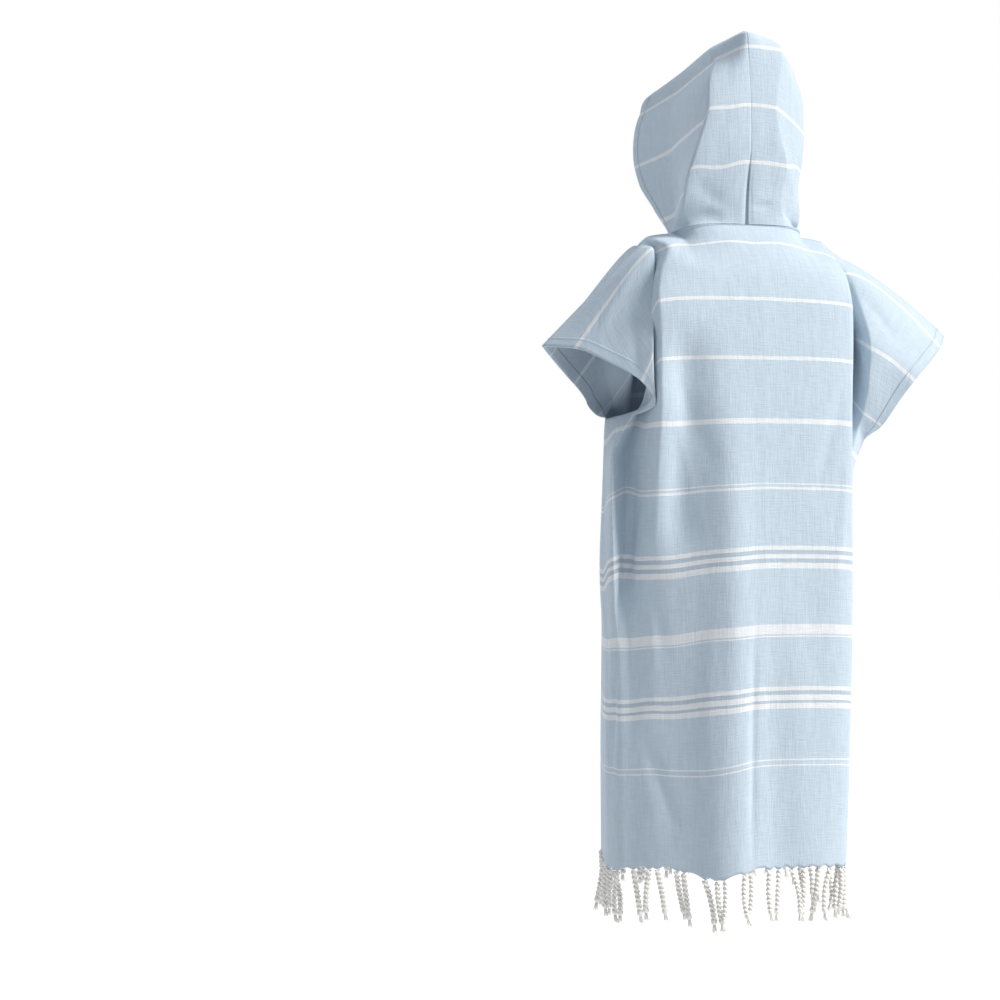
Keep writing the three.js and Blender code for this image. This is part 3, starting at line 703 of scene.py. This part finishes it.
farFromHem = 100
panels = {}
for face, node in (("back", "back_panel"), ("front", "front_panel")):
    grid, normals, u, s, rows = bodyGrid(face)
    hemLine = grid[-1]
    grid = scalloped(grid, rows)
    reach = np.where(u >= 0, u[:, -1:], -u[:, :1])
    fromRim = np.where(rows[:, None] <= bodyCloth["sleeveOpening"], reach - np.abs(u), farFromHem)
    thickness = bodyCloth["thickness"]
    panel = sheetMesh(face + "Panel", grid, u, s, fromRim, signs[face], bodyMaterial, thickness)
    dress(panel, "cloth", node)
    panels[face] = {
        "grid": grid, "normals": normals, "u": u, "fromRim": fromRim, "rows": rows, "hem": hemLine,
    }
print("panels made")


# Hood: two halves through half rings, by the length h up the middle of the back

hood = {
    "thickness": 1.3, "rows": 84, "columns": 96, "cornerShare": 0.87, "crisp": 0.65, "overlap": 0.4,
    "crownStart": 220, "crownEnd": 246, "crownRows": 18, "crownCrowding": 1.8, "crownRoundness": 3.4,
    "seatHeight": 18, "seatLift": 0.9, "seamSharpness": 12, "seatSteps": 60,
}
hoodColumns = "h backY backZ creaseX creaseY creaseZ sideX sideY sideZ faceX faceY faceZ"
hoodRings = {
    "left": namedTable(hoodColumns, [
        (0, 47, 10, 72, 26, 8, 76, -30, -8, 31, -88, -40),
        (36, 50, 44, 82, 36, 30, 68, -30, 10, 50, -88, 6),
        (75, 54, 84, 79, 43, 62, 65, -34, 44, 66, -104, 42),
        (110, 56, 119, 69, 50, 100, 65, -46, 80, 74, -136, 78),
        (147, 55, 154, 56, 52, 143, 64, -56, 118, 74, -155, 108),
        (184, 51, 191, 51, 45, 180, 60, -66, 156, 71, -162, 143),
        (220, 46, 227, 32, 17, 213, 45, -74, 190, 63, -160, 173),
        (238, 44, 244, 20, -8, 233, 30, -78, 214, 36, -146, 195),
        (246, 32, 249, 0, -20, 241, 0, -80, 223, 0, -138, 202),
    ]),
    "right": namedTable(hoodColumns, [
        (0, 47, 10, 46, 43, 10, 80, 10, 2, 31, -88, -40),
        (36, 50, 44, 44, 47, 42, 79, 24, 24, 50, -88, 6),
        (75, 54, 84, 50, 51, 81, 75, 28, 58, 66, -104, 42),
        (110, 56, 119, 40, 54, 117, 80, 30, 92, 74, -136, 78),
        (147, 55, 154, 34, 54, 152, 83, 28, 122, 76, -155, 108),
        (184, 51, 191, 40, 50, 189, 83, 26, 158, 71, -162, 143),
        (220, 46, 227, 48, 42, 225, 76, 14, 200, 64, -160, 174),
        (238, 44, 244, 30, 22, 242, 40, -22, 228, 36, -146, 195),
        (246, 32, 249, 0, 14, 247, 0, -40, 238, 0, -138, 202),
    ]),
}
hoodCreases = {
    "left": namedTable(creaseColumns, [
        (3, -8, 1, 70, 2.6, -3.5),
        (0, 60, 0, 240, 1.6, -0.3),
        (40, 30, 70, 66, 9, -1.6),
        (24, 8, 52, 30, 7, 1.4),
        (100, 120, 150, 132, 10, 1.5),
        (120, 60, 150, 96, 9, -1.4),
    ]),
    "right": namedTable(creaseColumns, [
        (3, -8, 1, 70, 2.2, -1.0),
        (0, 60, 0, 240, 1.6, -0.3),
        (6, 22, 30, 26, 4, -1.8),
        (30, 90, 46, 150, 8, 1.2),
        (20, 40, 60, 60, 9, -1.2),
        (110, 110, 150, 126, 10, 1.5),
    ]),
}
# How far the tuck at the crease shifts the stripes, on the back plane and on the side plane. The left one
# turns sharply at the crease, the right one comes and goes over the side.
hoodTucks = {
    "left": namedTable("h back side", [(0, -16, 30), (75, -13, 16), (147, -4, 9), (220, 0, 4), (246, 0, 0)]),
    "right": namedTable("h back side", [(0, 0, -24), (75, 0, -24), (147, 0, -4), (220, 0, 0), (246, 0, 0)]),
}
tuckPlaces = {"back": (0.35, 0.97), "leftTurn": (0.97, 1.04), "rightBegins": (0.9, 2), "rightEnds": (3, 2)}


def hoodGrid(side):
    start, end, crownRows = hood["crownStart"], hood["crownEnd"], hood["crownRows"]
    crowded = np.linspace(1, 0, crownRows + 1) ** hood["crownCrowding"]
    below = np.linspace(0, start, hood["rows"] - crownRows)[:-1]
    heights = np.concatenate([below, end - (end - start) * crowded])
    places = np.linspace(0, 3, hood["columns"])
    h, place = (a.ravel() for a in np.meshgrid(heights, places, indexing="ij"))
    ring = readAt(hoodRings[side], "h", h)
    last = readAt(hoodRings[side], "h", np.array([float(start)]))
    crown = h > start
    up = np.maximum(0, h - start) / (end - start)
    arch = np.sqrt(np.maximum(0, 1 - up ** hood["crownRoundness"]))
    for name in ("creaseX", "sideX", "faceX"):
        ring[name] = np.where(crown, last[name] * arch, ring[name])
    ring["backX"] = 0 * h
    back, crease, cheek, brow = (
        points(*(ring[part + axis] for axis in "XYZ")) for part in ("back", "crease", "side", "face"))
    keys = np.stack([crease * (-1, 1, 1), back, crease, cheek, brow, 1.5 * brow - 0.5 * cheek], axis=1)
    crisp = hood["crisp"] * smoothStep(0, 0.6, place)
    grid = splinePoints(keys, place, crisp).reshape(len(heights), len(places), 3)
    seat = neckSeat(len(places))
    rise = (1 - smoothStep(0, hood["seatHeight"], heights))[:, None, None]
    grid[0] = seat
    near = heights < hood["seatHeight"]
    grid[near] = seat + (grid[near] - seat) * (1 - rise[near])
    grid[:, :, 0] *= signs[side]
    normals = gridNormals(grid, -signs[side])
    u = arcLengths(grid, 0)
    v = np.repeat(heights[:, None], len(places), axis=1)
    depth = creaseDepth(hoodCreases[side], u, v)
    grid = grid + normals * depth[:, :, None]
    grid[:, 0, 0] = grid[-1, :, 0] = -hood["overlap"] * signs[side]
    tuck = {name: column[:, None] for name, column in readAt(hoodTucks[side], "h", heights).items()}
    turned = smoothStep(*tuckPlaces["leftTurn"], places)
    if side == "right":
        turned = smoothStep(*tuckPlaces["rightBegins"], places) * smoothStep(*tuckPlaces["rightEnds"], places)
    v = v + tuck["back"] * smoothStep(*tuckPlaces["back"], places) * (1 - turned) + tuck["side"] * turned
    return grid, normals, u, v


def neckSeat(count):
    # the neck edge of both panels from the middle of the back round to the hood's front corner
    t = np.linspace(0, 1, hood["seatSteps"])
    path = np.concatenate([neckEdge("back", t), neckEdge("front", t[::-1])[1:]])
    lengths = lengthAlong(path)
    seat = pointsAt(np.linspace(0, hood["cornerShare"] * lengths[-1], count), lengths, path)
    seat[:, 2] += hood["seatLift"]
    return seat


def joinCrown(left, right):
    # both halves end on one seam line over the crown
    seam = left[-1][np.argsort(left[-1, :, 1])]
    lift = np.interp(right[-1, :, 1], seam[:, 1], seam[:, 2]) - right[-1, :, 2]
    right[:, :, 2] += np.linspace(0, 1, len(right))[:, None] ** hood["seamSharpness"] * lift


halves = {side: hoodGrid(side) for side in ("left", "right")}
joinCrown(halves["left"][0], halves["right"][0])
hoodHalves = {}
for side, node in (("left", "hood_left"), ("right", "hood_right")):
    grid, normals, u, v = halves[side]
    name, fromFace = "hood" + side.capitalize(), u[:, -1:] - u
    across, facing = u * signs[side], -signs[side]
    half = sheetMesh(name, grid, across, v, fromFace, facing, hoodMaterial, hood["thickness"])
    dress(half, "cloth", node)
    hoodHalves[side] = {"grid": grid, "normals": normals, "u": u, "fromFace": fromFace}
print("hood made")


# Pocket: a patch on the front panel's own points, moved out

pocket = {
    "top": 302, "bend": 441, "bottom": 536, "topHalf": 80, "bottomHalf": 109, "lift": 2.0,
    "hemStart": 4, "rows": 60, "columns": 56,
}


def pocketGrid():
    s = np.linspace(pocket["top"], pocket["bottom"], pocket["rows"])
    slant = np.minimum(1, (s - pocket["top"]) / (pocket["bend"] - pocket["top"]))
    half = pocket["topHalf"] + (pocket["bottomHalf"] - pocket["topHalf"]) * slant
    front = panels["front"]
    grid = np.zeros((pocket["rows"], pocket["columns"], 3))
    normals, u = np.zeros_like(grid), np.zeros(grid.shape[:2])
    for i in range(pocket["rows"]):
        j = np.clip(np.searchsorted(front["rows"], s[i]) - 1, 0, len(front["rows"]) - 2)
        share = (s[i] - front["rows"][j]) / (front["rows"][j + 1] - front["rows"][j])
        u[i] = np.linspace(-half[i], half[i], pocket["columns"])
        for target, source in ((grid, front["grid"]), (normals, front["normals"])):
            target[i] = pointsAt(u[i], front["u"][j], source[j] + share * (source[j + 1] - source[j]))
    normals = unit(normals)
    return grid + normals * pocket["lift"], normals, u, np.repeat(s[:, None], pocket["columns"], axis=1)


grid, normals, u, s = pocketGrid()
fromTop = np.minimum(s - pocket["top"], farFromHem)
fromEdge = np.minimum(u[:, -1:] - np.abs(u), fromTop) + pocket["hemStart"]
patch = sheetMesh("pocketPatch", grid, u, s, fromEdge, -1, bodyMaterial, bodyCloth["thickness"])
dress(patch, "cloth", "pocket")
pocketPatch = {"grid": grid, "normals": normals}
print("pocket made")


# Fringe

def tasselMesh(variant):
    # two plies round each other, a knot near the end and a small loose tuft below it
    vertices, quads = [], []
    length, ply = fringe["length"], fringe["ply"]
    bend = [(chance(variant, kind) - 0.5) * fringe["bend"] for kind in (7, 8)]
    knotAt = length * (fringe["knotPlace"] + fringe["knotShift"] * chance(variant, 9))

    def spine(down):
        share = down / length
        side = bend[1] * math.sin(share * 2.4 + 0.4) - bend[1] * 0.39
        return Vector((bend[0] * math.sin(share * 3.0), side, -down))

    def around(turn):
        return Vector((math.cos(turn), math.sin(turn), 0))

    def addRings(centres, radii, sides=7):
        first = len(vertices)
        for centre, radius in zip(centres, radii):
            for k in range(sides):
                vertices.append((centre + around(2 * math.pi * k / sides) * radius) * mm)
        for i in range(len(centres) - 1):
            for k in range(sides):
                a, b = first + i * sides + k, first + i * sides + (k + 1) % sides
                quads.append((a, a + sides, b + sides, b))
        quads.append(tuple(first + k for k in range(sides)))
        quads.append(tuple(first + (len(centres) - 1) * sides + sides - 1 - k for k in range(sides)))

    for strand in (0, 1):
        centres, radii = [], []
        for i in range(fringe["plyRings"]):
            down = knotAt * i / (fringe["plyRings"] - 1)
            turn = 2 * math.pi * down / fringe["twist"] + strand * math.pi
            centres.append(spine(down) + around(turn) * ply * 0.85)
            radii.append(ply * (1 + 0.06 * math.sin(down * 2.1 + strand)))
        addRings(centres, radii)
    widest = max(radius for down, radius in knotOutline)
    knotRadii = [radius * fringe["knotRadius"] / widest for down, radius in knotOutline]
    addRings([spine(knotAt + down) for down, radius in knotOutline], knotRadii)
    for k in range(fringe["tuftStrands"]):
        outward = around(k * 2.4)
        reach = length - knotAt - 3 * chance(k, variant)
        spread = fringe["tuftSpread"] * (0.4 + chance(k, 11))
        centres = [spine(knotAt + 2 + t * reach) + outward * (0.9 + spread * t) for t in (0, 0.5, 1)]
        addRings(centres, [0.75, 0.65, 0.4], sides=4)
    return newMesh("tassel" + str(variant), [tuple(v) for v in vertices], [], quads, smooth=True)


def newGroup(name, **sockets):
    # a geometry node tree that takes geometry and the named sockets
    group = bpy.data.node_groups.new(name, "GeometryNodeTree")
    for socket, kind in {"Geometry": "Geometry", **sockets}.items():
        group.interface.new_socket(name=socket, in_out="INPUT", socket_type="NodeSocket" + kind)
    group.interface.new_socket(name="Geometry", in_out="OUTPUT", socket_type="NodeSocketGeometry")
    return group, addNode(group, "NodeGroupInput").outputs


def endGroup(group, placed, material):
    # what was placed becomes plain geometry with its material
    real = addNode(group, "GeometryNodeRealizeInstances", {0: placed})
    painted = addNode(group, "GeometryNodeSetMaterial", {0: real, "Material": material})
    addNode(group, "NodeGroupOutput", {0: painted})
    return group


def fringeTree():
    # a tassel at every point, picked from a few kinds, turned and leant by chance
    group, given = newGroup("Fringe", Tassels="Collection", Lean="Float", Seed="Int", Material="Material")
    kinds = addNode(group, "GeometryNodeCollectionInfo", {0: given["Tassels"], 1: True, 2: True})
    pick = addNode(group, "FunctionNodeRandomValue", {
        "Min": 0, "Max": fringe["kinds"] - 1, "Seed": given["Seed"],
    }, data_type="INT")
    low = maths(group, "MULTIPLY", given["Lean"], -1.0)
    least = addNode(group, "ShaderNodeCombineXYZ", {0: low, 1: low, 2: 0.0})
    most = addNode(group, "ShaderNodeCombineXYZ", {0: given["Lean"], 1: given["Lean"], 2: 6.28})
    turn = addNode(group, "FunctionNodeRandomValue", {
        0: least, 1: most, "Seed": given["Seed"],
    }, data_type="FLOAT_VECTOR")
    size = addNode(group, "FunctionNodeRandomValue", {
        "Min": fringe["leastSize"], "Max": 1.0, "Seed": given["Seed"],
    }, data_type="FLOAT")
    placed = addNode(group, "GeometryNodeInstanceOnPoints", {
        "Points": given["Geometry"], "Instance": kinds, "Pick Instance": True,
        "Instance Index": pick.outputs[2], "Rotation": turn, "Scale": size.outputs[1],
    })
    return endGroup(group, placed, given["Material"])


def runNodes(name, source, group, settings, material):
    # evaluates a geometry node tree on a mesh and returns the plain result
    carrier = addObject(name + "Carrier", source, material)
    modifier = carrier.modifiers.new("nodes", "NODES")
    modifier.node_group = group
    for item in group.interface.items_tree:
        if item.in_out == "INPUT" and item.name in settings:
            modifier[item.identifier] = settings[item.name]
    carrier.update_tag()
    evaluated = carrier.evaluated_get(bpy.context.evaluated_depsgraph_get())
    mesh = bpy.data.meshes.new_from_object(evaluated)
    bpy.data.objects.remove(carrier)
    mesh.name = name
    return addObject(name, mesh, material)


def hemRoots(face):
    line = panels[face]["hem"]
    roots = pointsAt(tasselPlaces(line), lengthAlong(line), line)
    roots[:, 2] -= fringe["rootDepth"]
    return roots


kinds = bpy.data.collections.new("tasselKinds")
for variant in range(fringe["kinds"]):
    kinds.objects.link(bpy.data.objects.new("tasselKind" + str(variant), tasselMesh(variant)))
fringeGroup = fringeTree()
for face, node in (("back", "fringe_back"), ("front", "fringe_front")):
    cloud = newMesh(face + "Roots", (hemRoots(face) * mm).tolist(), [], [])
    settings = {
        "Tassels": kinds, "Lean": fringe["lean"], "Seed": fringe["seeds"][face], "Material": yarnMaterial,
    }
    tassels = runNodes(face + "Fringe", cloud, fringeGroup, settings, yarnMaterial)
    dress(tassels, "fringe", node)
for kind in list(kinds.objects):
    bpy.data.objects.remove(kind)
bpy.data.collections.remove(kinds)
print("fringe made")


# Stitching: short stitches along the hems, the neck seam and the pocket

stitch = {
    "length": 3.0, "spacing": 3.9, "radius": 0.32, "lift": 0.85,
    "sleeveInset": 13.0, "faceInset": 12.5, "neckReach": 78, "clearOfSeam": 6,
}


def stitchMesh():
    sides, half = 6, stitch["length"] / 2
    rings = [(-half, 0.35), (-half * 0.75, 0.95), (half * 0.75, 0.95), (half, 0.35)]
    vertices = [(x, math.cos(a) * r * stitch["radius"], math.sin(a) * r * stitch["radius"])
                for x, r in rings for a in (2 * math.pi * k / sides for k in range(sides))]
    quads = []
    for i in range(len(rings) - 1):
        for k in range(sides):
            a, b = i * sides + k, i * sides + (k + 1) % sides
            quads.append((a, b, b + sides, a + sides))
    quads += [tuple(reversed(range(sides))), tuple(range((len(rings) - 1) * sides, len(rings) * sides))]
    return newMesh("stitch", [tuple(c * mm for c in v) for v in vertices], [], quads)


def stitchTree():
    # one stitch every so far along each line, turned to follow it
    group, given = newGroup("Stitches", Stitch="Object", Spacing="Float", Material="Material")
    lines = addNode(group, "GeometryNodeMeshToCurve", {0: given["Geometry"]})
    spaced = addNode(group, "GeometryNodeResampleCurve", {
        "Curve": lines, "Length": given["Spacing"],
    }, mode="LENGTH")
    tangent = addNode(group, "GeometryNodeInputTangent")
    turn = addNode(group, "FunctionNodeAlignRotationToVector", {"Vector": tangent}, axis="X")
    shape = addNode(group, "GeometryNodeObjectInfo", {0: given["Stitch"], 1: True})
    placed = addNode(group, "GeometryNodeInstanceOnPoints", {
        "Points": spaced, "Instance": shape.outputs["Geometry"], "Rotation": turn,
    })
    return endGroup(group, placed, given["Material"])


def lineAt(grid, normals, distance, wanted, rowRange):
    # the line on a sheet at a given distance from its edge, one point a row, lifted onto the cloth
    found = []
    for i in rowRange:
        order = np.argsort(distance[i])
        raised = grid[i] + normals[i] * stitch["lift"]
        found.append(pointsAt(wanted, distance[i][order], raised[order]))
    return found


seamLines = []
for face in ("back", "front"):
    panel = panels[face]
    sleeveEnd = bodyCloth["sleeveOpening"] - stitch["clearOfSeam"]
    sleeve = [i for i, row in enumerate(panel["rows"]) if row <= sleeveEnd]
    middle = panel["u"].shape[1] // 2
    for columns in (slice(0, middle), slice(middle, None)):
        parts = [panel[key][:, columns] for key in ("grid", "normals", "fromRim")]
        seamLines.append(lineAt(*parts, stitch["sleeveInset"], sleeve))
    near = np.abs(panel["u"][0]) < stitch["neckReach"]
    seamLines.append(panel["grid"][1][near] + panel["normals"][1][near] * stitch["lift"])
for side in ("left", "right"):
    half = hoodHalves[side]
    allRows = range(2, len(half["grid"]) - 1)
    seamLines.append(lineAt(half["grid"], half["normals"], half["fromFace"], stitch["faceInset"], allRows))
raised = pocketPatch["grid"] + pocketPatch["normals"] * stitch["lift"]
seamLines += [raised[1], raised[-2], raised[:, 1], raised[:, -2]]

vertices, edges = [], []
for line in seamLines:
    first = len(vertices)
    vertices += (np.array(line) * mm).tolist()
    edges += [(first + k, first + k + 1) for k in range(len(line) - 1)]
lineMesh = newMesh("seamLines", vertices, edges, [])
oneStitch = addObject("oneStitch", stitchMesh(), threadMaterial)
settings = {"Stitch": oneStitch, "Spacing": stitch["spacing"] * mm, "Material": threadMaterial}
stitches = runNodes("stitching", lineMesh, stitchTree(), settings, threadMaterial)
bpy.data.objects.remove(oneStitch)
dress(stitches, "cloth")
print("stitching made")


# Camera, light and floor

view = {
    "azimuth": 157.0, "distance": 3.0, "aimZ": -0.31,
    "pixelX": 733, "pixelY": 483, "focalPixels": 2385, "picture": 1000,
}


def direction(azimuth, elevation=0):
    turn, rise = math.radians(azimuth), math.radians(elevation)
    return Vector((math.sin(turn) * math.cos(rise), -math.cos(turn) * math.cos(rise), math.sin(rise)))


def addCamera():
    outward = direction(view["azimuth"])
    right = Vector((-outward.y, outward.x, 0))
    half = view["picture"] / 2
    data = bpy.data.cameras.new("camera")
    data.sensor_width = 36
    data.lens = view["focalPixels"] / view["picture"] * data.sensor_width
    camera = addObject("camera", data)
    camera.location = outward * view["distance"] + Vector((0, 0, view["aimZ"]))
    forward = -outward - right * (view["pixelX"] - half) / view["focalPixels"]
    forward -= Vector((0, 0, 1)) * (half - view["pixelY"]) / view["focalPixels"]
    camera.rotation_euler = forward.to_track_quat("-Z", "Y").to_euler()
    bpy.context.scene.camera = camera


# Soft daylight from the image's right, which leaves the folds' left sides in shade, and two weaker lights:
# one from high above and one from the garment's front. azimuth: where each comes from, 0 is the front.
studio = {
    "level": -1.25, "floorSize": 14.0, "surround": 0.205, "surroundColour": "#e4f0fb",
    "floorColour": "#e6e6e7", "floorRoughness": 0.95,
    "key": {"azimuth": 236, "elevation": 38, "spread": 24, "strength": 4.45, "colour": "#fffaf2"},
    "high": {"azimuth": 130, "elevation": 72, "spread": 40, "strength": 0.75, "colour": "#f8fbff"},
    "front": {"azimuth": 10, "elevation": 35, "spread": 40, "strength": 1.0, "colour": "#f8fbff"},
}


def addDaylight(name, row):
    data = bpy.data.lights.new(name, "SUN")
    data.energy = row["strength"]
    data.angle = math.radians(row["spread"])
    data.color = linear(row["colour"])[:3]
    toLight = direction(row["azimuth"], row["elevation"])
    addObject(name, data).rotation_euler = (-toLight).to_track_quat("-Z", "Y").to_euler()


def addStudio():
    material = finishMaterial(newMaterial("Pale floor")[0], {
        "Base Color": linear(studio["floorColour"]), "Roughness": studio["floorRoughness"],
    })
    size, level = studio["floorSize"], studio["level"]
    corners = [(-size, -size, level), (size, -size, level), (size, size, level), (-size, size, level)]
    addObject("floor", newMesh("floor", corners, [], [(0, 1, 2, 3)]), material)
    world = bpy.data.worlds.new("studio")
    world.use_nodes = True
    tree = world.node_tree
    seen = addNode(tree, "ShaderNodeLightPath").outputs["Is Camera Ray"]
    dim = [channel * studio["surround"] for channel in linear(studio["surroundColour"])]
    tree.links.new(mixColours(tree, seen, dim, linear("#ffffff")), tree.nodes["Background"].inputs[0])
    bpy.context.scene.world = world
    bpy.context.scene.view_settings.view_transform = "Standard"  # colours as they are, without a film curve
    for name in ("key", "high", "front"):
        addDaylight(name + "Light", studio[name])


addCamera()
addStudio()
print("camera and studio made")
